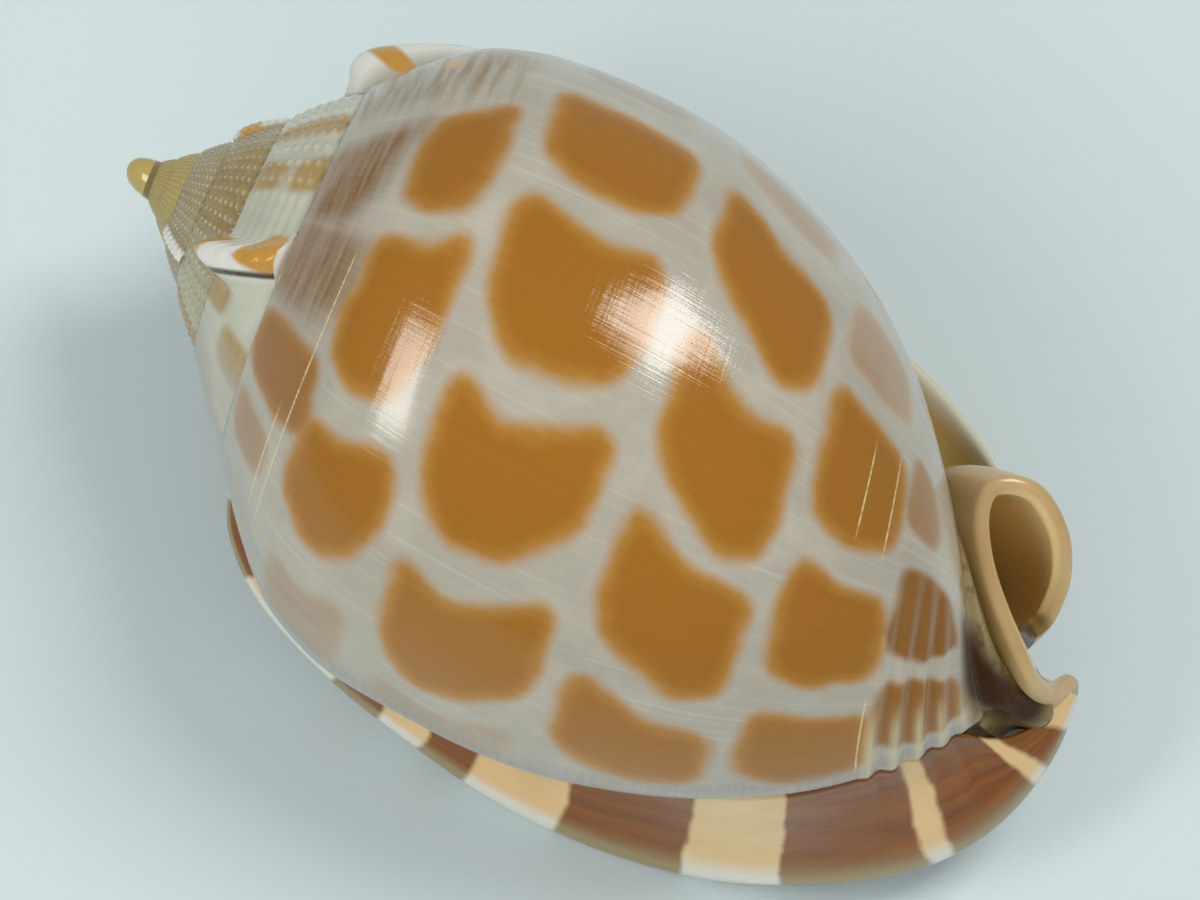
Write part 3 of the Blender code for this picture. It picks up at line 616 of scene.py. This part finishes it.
# The crack below the varix of the whorl before runs aslant, 1.6 degrees for every mm down.
crack = add(tree, "Math", {0: fallen, 1: CRACK_SLANT, 2: turned}, operation="MULTIPLY_ADD")
crack = add(tree, "Math", {0: crack, 1: CRACK_PLACE}, operation="SUBTRACT")
crack = add(tree, "Math", {0: crack}, operation="ABSOLUTE")
crack = add(tree, "MapRange", {0: crack, 1: 0.10, 2: 0.03})
crack = add(tree, "Math", {0: crack, 1: held["spire"]}, operation="MULTIPLY")
colour = add(tree, "Mix", {0: crack, 6: colour, 7: "#3A2A14"}, 2, data_type="RGBA")
tree.links.new(colour, surface.inputs["Base Color"])

relief = add(tree, "Math", {0: growth_lines, 1: 0.3}, operation="MULTIPLY")
relief = add(tree, "Math", {0: spiral_lines, 1: 0.12, 2: relief}, operation="MULTIPLY_ADD")
relief = add(tree, "Math", {0: pearls, 1: 0.9, 2: relief}, operation="MULTIPLY_ADD")
relief = add(tree, "Math", {0: crack, 1: -1.5, 2: relief}, operation="MULTIPLY_ADD")
relief = add(tree, "Math", {0: lined, 1: 1.5, 2: relief}, operation="MULTIPLY_ADD")
bump = add(tree, "Bump", {"Strength": 0.8, "Distance": 0.00012, "Height": relief})
tree.links.new(bump, surface.inputs["Normal"])


def piece(name, points, faces, uv, fields, material):
    """Mesh of the given faces with outward normals, its own UV map, and one float attribute per field."""
    mesh = bpy.data.meshes.new(name)
    mesh.from_pydata(seat(points).tolist(), [], faces)
    for key, values in fields.items():
        mesh.attributes.new(key, "FLOAT", "POINT").data.foreach_set("value", np.asarray(values, float).ravel())
    growth = mesh.uv_layers.new(name="growth")
    corner = np.empty(len(mesh.loops), int)
    mesh.loops.foreach_get("vertex_index", corner)
    growth.data.foreach_set("uv", np.asarray(uv, float)[corner].ravel())
    shape = bmesh.new()
    shape.from_mesh(mesh)
    bmesh.ops.remove_doubles(shape, verts=shape.verts, dist=1e-7)
    bmesh.ops.recalc_face_normals(shape, faces=shape.faces)
    shape.to_mesh(mesh)
    shape.free()
    mesh.shade_smooth()
    item = bpy.data.objects.new(name, mesh)
    bpy.context.scene.collection.objects.link(item)
    item.data.materials.append(material)
    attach(item, "root")
    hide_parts("shell")


piece("whorls", whorl_xyz, faces, np.stack([whorl_psi / 10.0, whorl_down / 10.0], axis=1),
      whorl_fields, whorl_material)

# The outer lip. A thick roll of the same shell laid down when growth stopped, turned back over the
# last whorl and toothed along its inner edge. Square brown bars cross its cream back, and its
# rounded rim is translucent.
LIP_RIM = [(14.8, 15.2, -3.4), (16.4, 18.5, -4.1), (20.1, 21.6, -5.5), (26.0, 23.9, -6.6), (31.7, 25.2, -7.2),
           (39.4, 26.3, -7.6), (47.0, 26.1, -7.8), (54.0, 24.7, -7.6), (60.2, 22.0, -6.8), (65.2, 18.6, -5.8),
           (68.4, 15.0, -5.0), (70.2, 10.8, -4.4), (70.8, 6.4, -4.2), (70.4, 2.6, -4.4)]
LIP_HALF_WIDTH = [1.1, 1.5, 1.9, 2.3, 2.6, 3.0, 3.3, 3.3, 3.2, 3.2, 3.1, 2.8, 2.2, 1.5]
LIP_HALF_THICK = [1.0, 1.3, 1.5, 1.8, 1.9, 2.0, 2.0, 2.0, 2.0, 2.0, 2.0, 1.9, 1.8, 1.4]
LIP_SLOPE = 0.35
TOOTH_SPACING = 2.3
TOOTH_SWELL = 0.28
BACK_POINTS = 26
NECK_ANGLE = 97.0
# Turns round the lip's section, in degrees: its crest, where the hollow back meets the round rim, and
# where the round part ends under the crest again.
CREST_TURN = 100.0
SHOULDER_TURN = 52.0
LAST_TURN = -262.0
TURN_STEP = 5.0
HANDLE = 0.8


def outward_of(tangent, slope):
    """Unit vectors to the left of the path in the a-l plane, sloping down by the given share."""
    side = np.stack([-tangent[:, 1], tangent[:, 0], np.zeros(len(tangent))], axis=1)
    side /= np.linalg.norm(side, axis=1, keepdims=True)
    side[:, 2] = -slope
    return side / np.linalg.norm(side, axis=1, keepdims=True)


rim_line = np.array(LIP_RIM)
out_of_rim = outward_of(np.gradient(rim_line, axis=0), LIP_SLOPE)
middle = smooth_curve(rim_line - out_of_rim * np.array(LIP_HALF_WIDTH)[:, None], 30)
half = smooth_curve(np.stack([LIP_HALF_WIDTH, LIP_HALF_THICK], axis=1), 30)
tangent = np.gradient(middle, axis=0)
tangent /= np.linalg.norm(tangent, axis=1, keepdims=True)
across = outward_of(tangent, LIP_SLOPE)
upright = np.cross(tangent, across)
along_lip = np.r_[0.0, np.cumsum(np.linalg.norm(np.diff(middle, axis=0), axis=1))]
ends = ease(along_lip / 6.0) * ease((along_lip[-1] - along_lip) / 6.0)


def lip_round(degrees):
    """Rounded section: middle + half width * cos * across + half thickness * sin * upright, swollen by a
    tooth every 2.3 mm on its lower inner side."""
    turn = np.radians(degrees)
    teeth = np.clip(np.cos(turn + 0.75 * np.pi), 0.0, 1.0)[None, :] ** 3
    teeth = teeth * (0.5 - 0.5 * np.cos(2.0 * np.pi * along_lip / TOOTH_SPACING))[:, None] ** 2
    swell = (1.0 + TOOTH_SWELL * teeth * ends[:, None])[..., None]
    return (middle[:, None] + swell * half[:, None, :1] * np.cos(turn)[None, :, None] * across[:, None]
            + swell * half[:, None, 1:] * np.sin(turn)[None, :, None] * upright[:, None])


# The back of the lip is a hollow sweep from its round rim up to the neck of the last whorl, as a
# Hermite curve: (2t^3 - 3t^2 + 1) top + (t^3 - 2t^2 + t) leave + (3t^2 - 2t^3) foot + (t^3 - t^2) arrive.
edge_rows = np.flatnonzero((down > 8.0) & (down < 55.0))
forward = ease((down - 26.0) / 16.0)
edge_psi = NECK_ANGLE * (1.0 - forward) + (lip_edge + 5.0) * forward
edge_line = coil_points(edge_psi[None, :])[0][edge_rows]
near = ((middle[:, None, :2] - edge_line[None, :, :2]) ** 2).sum(axis=2)
near = np.argmin(near, axis=1).astype(float)
near = np.convolve(np.pad(near, 12, mode="edge"), np.ones(25) / 25.0, mode="valid")
take = np.arange(len(edge_rows))
edge_point = np.stack([np.interp(near, take, edge_line[:, k]) for k in range(3)], axis=1)
climb = (ease((along_lip - 3.0) / 8.0) * (1.0 - ease((along_lip - 59.0) / 8.0)))[:, None]
flat_top = lip_round(np.array([CREST_TURN]))[:, 0]
top = edge_point * climb + flat_top * (1.0 - climb) + 0.2 * across
foot_of_back = lip_round(np.array([SHOULDER_TURN]))[:, 0]
chord = np.linalg.norm(foot_of_back - top, axis=1, keepdims=True)
ahead_share = np.interp(near, take, forward[edge_rows])[:, None]
leave = climb * ((0.3 + 0.6 * ahead_share) * across - 0.8 * upright) + (1.0 - climb) * across
shoulder = math.radians(SHOULDER_TURN)
arrive = math.sin(shoulder) * half[:, :1] * across - math.cos(shoulder) * half[:, 1:] * upright
arrive /= np.linalg.norm(arrive, axis=1, keepdims=True)
leave, arrive = (HANDLE * chord * way for way in (leave, arrive))
t = np.linspace(0.0, 1.0, BACK_POINTS)[None, :, None]
back = ((2 * t ** 3 - 3 * t ** 2 + 1) * top[:, None] + (t ** 3 - 2 * t ** 2 + t) * leave[:, None]
        + (3 * t ** 2 - 2 * t ** 3) * foot_of_back[:, None] + (t ** 3 - t ** 2) * arrive[:, None])
sunk = top - 0.6 * climb * across - 0.2 * upright
round_turn = np.arange(SHOULDER_TURN - 4.0, LAST_TURN, -TURN_STEP)
lip_grid = np.concatenate([sunk[:, None], back, lip_round(round_turn)], axis=1)


def tube_faces(rings, sides):
    """Quads between neighbouring rings, and one face over each end."""
    at = np.arange(rings * sides).reshape(rings, sides)
    ahead = np.roll(at, -1, axis=1)
    quads = np.stack([at[:-1], ahead[:-1], ahead[1:], at[1:]], axis=-1).reshape(-1, 4).tolist()
    return quads + [at[0][::-1].tolist(), at[-1].tolist()]


# Bars as first and last distance along the lip in mm.
BARS = [(1.0, 5.8), (14.0, 18.0), (21.2, 24.8), (31.2, 39.6), (45.6, 54.6), (56.2, 62.0), (63.0, 65.5)]
lip_s = np.broadcast_to(along_lip[:, None], lip_grid.shape[:2])
bar_depth = np.max([np.minimum(lip_s - low, high - lip_s) for low, high in BARS], axis=0)
whole_turn = np.r_[CREST_TURN, np.linspace(CREST_TURN, SHOULDER_TURN, BACK_POINTS), round_turn]
lip_turn = np.broadcast_to(whole_turn[None, :], lip_grid.shape[:2])
lip_fields = {"bar_depth": bar_depth, "rim_share": ease((62.0 - lip_turn) / 14.0),
              "under": ease((-12.0 - lip_turn) / 25.0)}

# The same glazed aragonite, thickened layer on layer: it is smooth and wet-looking, the brown bars lie
# in cream with slightly wandering edges, and light goes a little way into the rim.
lip_material, tree, surface = finish("glazed_lip", 0.14, 1.5, 0.15)
surface.inputs["Subsurface Weight"].default_value = 0.06
surface.inputs["Subsurface Scale"].default_value = 0.0008
chart = add(tree, "UVMap", out="UV", uv_map="growth")
place = add(tree, "TexCoord", out="Object")
held = {name: add(tree, "Attribute", out="Fac", attribute_name=name) for name in lip_fields}
cloud = add(tree, "TexNoise", {"Vector": place, "Scale": 300.0, "Detail": 3.0})
spun = add(tree, "Mapping", {"Vector": chart, "Scale": (1.2, 9.0, 1.0)})
folds = add(tree, "TexNoise", {"Vector": spun, "Scale": 1.0, "Detail": 3.0})
edge = add(tree, "Math", {0: cloud, 1: 1.0, 2: -0.5}, operation="MULTIPLY_ADD")
edge = add(tree, "Math", {0: edge, 1: held["bar_depth"]}, operation="ADD")
bar = add(tree, "MapRange", {0: edge, 1: -0.2, 2: 0.3}, interpolation_type="SMOOTHSTEP")
brown = add(tree, "Mix", {0: folds, 6: "#542A04", 7: "#9A5A14"}, 2, data_type="RGBA")
cream = add(tree, "Mix", {0: cloud, 6: "#E0C48E", 7: "#CFA670"}, 2, data_type="RGBA")
colour = add(tree, "Mix", {0: bar, 6: cream, 7: brown}, 2, data_type="RGBA")
rim_tone = add(tree, "Mix", {0: bar, 6: "#D6D3C4", 7: "#94835C"}, 2, data_type="RGBA")
colour = add(tree, "Mix", {0: held["rim_share"], 6: colour, 7: rim_tone}, 2, data_type="RGBA")
colour = add(tree, "Mix", {0: held["under"], 6: colour, 7: "#D8CCB4"}, 2, data_type="RGBA")
tree.links.new(colour, surface.inputs["Base Color"])
bump = add(tree, "Bump", {"Strength": 0.4, "Distance": 0.0002, "Height": folds})
tree.links.new(bump, surface.inputs["Normal"])
piece("outer_lip", lip_grid.reshape(-1, 3), tube_faces(*lip_grid.shape[:2]),
      np.stack([lip_s.ravel() / 10.0, lip_turn.ravel() / 57.3], axis=1), lip_fields, lip_material)

# The siphonal canal. A short spout of shell wrapped round the animal's breathing tube, bent up over
# the back, with a thick rounded rim that runs on into the tip of the lip.
CANAL_RIM = [(70.1, 2.0, -3.6), (68.7, 3.6, -0.4), (66.3, 3.3, 2.2), (63.2, 1.2, 3.6), (60.2, -1.6, 4.3),
             (58.3, -4.4, 4.5), (58.0, -6.6, 4.8), (59.3, -7.9, 4.5), (61.6, -8.1, 3.8), (64.3, -6.4, 2.8),
             (66.0, -3.8, 1.2), (66.5, -0.9, -0.5), (66.1, 0.6, -2.0)]
CANAL_FOOT = [(69.3, 3.6, -6.4), (67.2, 5.6, -6.8), (64.4, 6.0, -6.0), (61.0, 3.6, -4.0), (57.4, 0.2, -3.0),
              (55.0, -2.4, -3.0), (54.4, -4.2, -4.0), (55.6, -5.0, -6.0), (58.2, -4.6, -9.0),
              (61.2, -3.2, -11.0), (63.2, -1.6, -11.6), (64.4, 0.2, -11.0), (64.8, 1.2, -10.0)]
CANAL_THICK = 1.3
CANAL_MIDDLE = (62.4, -3.2, 0.0)
CANAL_BULGE = 1.0
WALL_STEPS = 30
ROUND_STEPS = 12

rim = smooth_curve(CANAL_RIM, 16)
foot = smooth_curve(CANAL_FOOT, 16)
share = np.linspace(1.0, 0.0, WALL_STEPS)[None, :, None]
outward = rim - CANAL_MIDDLE
outward[:, 2] = 0.0
outward /= np.linalg.norm(outward, axis=1, keepdims=True)
outer_wall = rim[:, None] * (1.0 - share) + foot[:, None] * share
outer_wall = outer_wall + CANAL_BULGE * np.sin(np.pi * share) * outward[:, None]
normal = np.cross(np.gradient(outer_wall, axis=0), np.gradient(outer_wall, axis=1))
normal /= np.linalg.norm(normal, axis=2, keepdims=True)
normal *= np.sign((normal * outward[:, None]).sum(axis=2, keepdims=True).mean())
inner_wall = outer_wall - normal * CANAL_THICK
top_middle = 0.5 * (outer_wall[:, -1] + inner_wall[:, -1])
upward = outer_wall[:, -1] - outer_wall[:, -2]
upward /= np.linalg.norm(upward, axis=1, keepdims=True)
bend = np.linspace(0.0, np.pi, ROUND_STEPS)[1:-1]
cap = (top_middle[:, None] + 0.5 * CANAL_THICK * (np.cos(bend)[None, :, None] * normal[:, -1][:, None]
       + 0.8 * np.sin(bend)[None, :, None] * upward[:, None]))
canal_grid = np.concatenate([outer_wall, cap, inner_wall[:, ::-1]], axis=1)
rows, columns = canal_grid.shape[:2]
profile = np.r_[np.linspace(1.0, 0.0, WALL_STEPS), np.zeros(len(bend)), np.linspace(0.0, 1.0, WALL_STEPS)]
side = np.r_[np.zeros(WALL_STEPS), np.linspace(0.0, 1.0, len(bend) + 2)[1:-1], np.ones(WALL_STEPS)]
canal_fields = {"from_rim": np.tile(profile, rows), "inner_side": np.tile(side, rows),
                "gap": gap_shade_and_dirt(canal_grid.reshape(-1, 3))}

# Smooth shell rubbed by the breathing tube: tan and a little shiny outside, a pale amber down inside that is
# painted light, lighter than the shell's own to stand in for light reaching into the spout, and fouled to a
# dull olive brown low on its outer wall.
canal_material, tree, surface = finish("glazed_canal", 0.2, 1.5, 0.15)
surface.inputs["Subsurface Weight"].default_value = 0.12
surface.inputs["Subsurface Scale"].default_value = 0.0008
place = add(tree, "TexCoord", out="Object")
held = {name: add(tree, "Attribute", out="Fac", attribute_name=name) for name in canal_fields}
cloud = add(tree, "TexNoise", {"Vector": place, "Scale": 260.0, "Detail": 3.0})
speck = add(tree, "TexNoise", {"Vector": place, "Scale": SPECKS_PER_METRE, "Detail": 4.0})
skin = add(tree, "Mix", {0: cloud, 6: "#AE8850", 7: "#C9B07E"}, 2, data_type="RGBA")
fouled = add(tree, "MapRange", {0: speck, 1: 0.5, 2: 0.75})
dull = add(tree, "Mix", {0: fouled, 6: "#8A7444", 7: "#5F4A22"}, 2, data_type="RGBA")
low = add(tree, "MapRange", {0: held["from_rim"], 1: 0.25, 2: 0.7})
skin = add(tree, "Mix", {0: low, 6: skin, 7: dull}, 2, data_type="RGBA")
# Painted light: the amber inside is made paler than the shell's own colour, for light that reaches down into
# the spout.
deep = add(tree, "MapRange", {0: held["from_rim"], 1: 0.0, 2: 0.5})
amber_with_painted_light = add(tree, "Mix", {0: deep, 6: "#F2DA9C", 7: "#FCD486"}, 2, data_type="RGBA")
within = add(tree, "MapRange", {0: held["inner_side"], 1: 0.55, 2: 0.98})
colour = add(tree, "Mix", {0: within, 6: skin, 7: amber_with_painted_light}, 2, data_type="RGBA")
# The dark brown laid low on the outer wall near the gap is painted shade as well as dirt.
outside = add(tree, "Math", {0: held["gap"], 1: low}, operation="MULTIPLY")
colour = add(tree, "Mix", {0: outside, 6: colour, 7: GAP_SHADE_AND_DIRT}, 2, data_type="RGBA")
shine = add(tree, "Math", {0: outside, 1: -0.45, 2: 0.5}, operation="MULTIPLY_ADD")
tree.links.new(shine, surface.inputs["Specular IOR Level"])
tree.links.new(colour, surface.inputs["Base Color"])
bump = add(tree, "Bump", {"Strength": 0.25, "Distance": 0.0002, "Height": cloud})
tree.links.new(bump, surface.inputs["Normal"])
piece("canal", canal_grid.reshape(-1, 3), tube_faces(rows, columns),
      np.stack([np.repeat(np.arange(rows), columns), np.tile(np.arange(columns), rows)], axis=1) / 10.0,
      canal_fields, canal_material)

# The columellar shield. A smooth sheet of cream callus that the mantle spread over the belly of the
# last whorl beside the aperture; its front half stands free and its lower edge is wrinkled.
SHIELD = [
    [(17.0, 14.6, -5.6), (24.8, 15.2, -5.9), (31.0, 14.2, -5.8), (37.4, 11.6, -5.6), (44.0, 8.4, -6.2),
     (51.0, 5.2, -7.4), (58.0, 2.8, -8.8), (63.8, 0.6, -10.2)],
    [(19.0, 10.3, -12.5), (26.0, 10.9, -13.2), (32.0, 9.9, -13.0), (38.5, 7.8, -12.7), (45.0, 5.2, -12.5),
     (52.0, 2.8, -12.4), (58.6, 0.6, -12.2), (63.6, -1.6, -10.8)],
    [(20.0, 3.0, -16.8), (27.0, 3.0, -17.4), (33.5, 2.2, -16.7), (40.0, 0.8, -15.6), (46.6, -0.8, -14.7),
     (53.0, -2.2, -13.7), (58.8, -3.2, -12.2), (62.9, -4.0, -9.0)],
    [(23.0, -1.5, -17.2), (29.0, -3.4, -17.7), (35.0, -5.2, -16.6), (41.0, -6.6, -15.5), (47.2, -7.5, -14.4),
     (53.2, -7.6, -13.0), (58.4, -6.9, -10.8), (62.0, -6.0, -6.6)],
    [(25.0, -5.0, -16.9), (30.5, -9.0, -15.8), (36.2, -11.6, -14.3), (42.0, -13.0, -13.0), (48.0, -13.2, -12.0),
     (53.0, -12.1, -11.0), (57.4, -10.2, -8.8), (60.4, -8.0, -4.4)]]
SHIELD_THICK = 1.3
FOLDS = 9

lines = np.stack([smooth_curve(line, 14) for line in SHIELD])
face = np.stack([smooth_curve(lines[:, i], 16) for i in range(lines.shape[1])])
normal = np.cross(np.gradient(face, axis=0), np.gradient(face, axis=1))
normal /= np.linalg.norm(normal, axis=2, keepdims=True)
u = np.linspace(0.0, 1.0, face.shape[0])[:, None]
v = np.linspace(0.0, 1.0, face.shape[1])[None, :]
body = np.sqrt(np.clip((1.0 - np.abs(2.0 * u - 1.0) ** 10) * (1.0 - np.abs(2.0 * v - 1.0) ** 10), 0.0, 1.0))
folds = 0.35 * np.sin(2.0 * np.pi * FOLDS * u) ** 2 * ease((0.4 - v) / 0.3) * ease((u - 0.35) / 0.2)
centre = face - normal * 0.5 * SHIELD_THICK
front = centre + normal * (body * 0.5 * SHIELD_THICK + folds * body)[..., None]
back = centre - normal * (body * 0.5 * SHIELD_THICK)[..., None]
shield_grid = np.concatenate([front, back[:, ::-1]], axis=1)
rows, columns = shield_grid.shape[:2]
from_edge = np.minimum(np.minimum(v, 1.0 - v), np.minimum(u, 1.0 - u) * 2.0) * np.ones_like(body)
shield_fields = {"from_edge": np.concatenate([from_edge, from_edge[:, ::-1]], axis=1)}

# Callus, a thin late enamel spread by the mantle: smooth and glossy cream, with peach where it lies
# thicker, and a white edge.
shield_material, tree, surface = finish("glazed_callus", 0.2, 1.5, 0.15)
place = add(tree, "TexCoord", out="Object")
edge = add(tree, "Attribute", out="Fac", attribute_name="from_edge")
cloud = add(tree, "TexNoise", {"Vector": place, "Scale": 130.0, "Detail": 3.0})
peach = add(tree, "MapRange", {0: cloud, 1: 0.42, 2: 0.62})
colour = add(tree, "Mix", {0: peach, 6: "#DCC27C", 7: "#D8A660"}, 2, data_type="RGBA")
white = add(tree, "MapRange", {0: edge, 1: 0.10, 2: 0.02})
colour = add(tree, "Mix", {0: white, 6: colour, 7: "#D2CDB4"}, 2, data_type="RGBA")
tree.links.new(colour, surface.inputs["Base Color"])
bump = add(tree, "Bump", {"Strength": 0.2, "Distance": 0.0003, "Height": cloud})
tree.links.new(bump, surface.inputs["Normal"])
piece("shield", shield_grid.reshape(-1, 3), tube_faces(rows, columns),
      np.stack([np.repeat(np.arange(rows), columns), np.tile(np.arange(columns), rows)], axis=1) / 10.0,
      shield_fields, shield_material)

# The columella. The solid column that the whorls turn round, and the pillar of callus behind the
# shield that carries it down to the canal, both of the same dense shell, seen only from below.
COLUMELLA = [(26.0, 0.0, 0.0), (35.0, 0.3, -0.5), (45.0, 0.4, -1.0), (54.6, -0.2, -1.6)]
COLUMELLA_HALF = [3.0, 2.9, 2.7, 2.0]
PILLAR = [(38.0, 2.0, -5.0), (44.0, 2.0, -7.0), (50.0, 0.8, -7.8), (55.6, -1.0, -7.6), (60.5, -2.8, -8.0)]
PILLAR_HALF = [5.0, 4.8, 4.6, 4.2, 2.4]
COLUMN_SIDES = 40
# Dense unglazed shell: smooth, half matt, cream clouded with tan.
column_material, tree, surface = finish("glazed_column", 0.24, 1.58, 0.3)
place = add(tree, "TexCoord", out="Object")
cloud = add(tree, "TexNoise", {"Vector": place, "Scale": 300.0, "Detail": 3.0})
colour = add(tree, "Mix", {0: cloud, 6: "#CDBB96", 7: "#A98C5A"}, 2, data_type="RGBA")
tree.links.new(colour, surface.inputs["Base Color"])
for name, path, halves in (("columella", COLUMELLA, COLUMELLA_HALF), ("pillar", PILLAR, PILLAR_HALF)):
    line = smooth_curve(path, 12)
    radius = smooth_curve(np.array(halves)[:, None], 12)
    tangent = np.gradient(line, axis=0)
    tangent /= np.linalg.norm(tangent, axis=1, keepdims=True)
    sideways = outward_of(tangent, 0.0)
    turn = 2.0 * np.pi * np.arange(COLUMN_SIDES) / COLUMN_SIDES
    tube = (line[:, None] + radius[:, None] * np.cos(turn)[None, :, None] * sideways[:, None]
            + radius[:, None] * np.sin(turn)[None, :, None] * np.cross(tangent, sideways)[:, None])
    chart = np.stack([np.repeat(line[:, 0], COLUMN_SIDES), np.tile(turn, len(line))], axis=1) / 10.0
    piece(name, tube.reshape(-1, 3), tube_faces(*tube.shape[:2]), chart, {}, column_material)

# The foot. Where the shell touches the table, what would sink into it is worn flat, so that it lies
# on its belly and its lip.
for name in ("whorls", "outer_lip", "shield"):
    mesh = bpy.data.objects[name].data
    points = np.empty(3 * len(mesh.vertices))
    mesh.vertices.foreach_get("co", points)
    points[2::3] = np.maximum(points[2::3], 0.0)
    mesh.vertices.foreach_set("co", points)
    mesh.update()
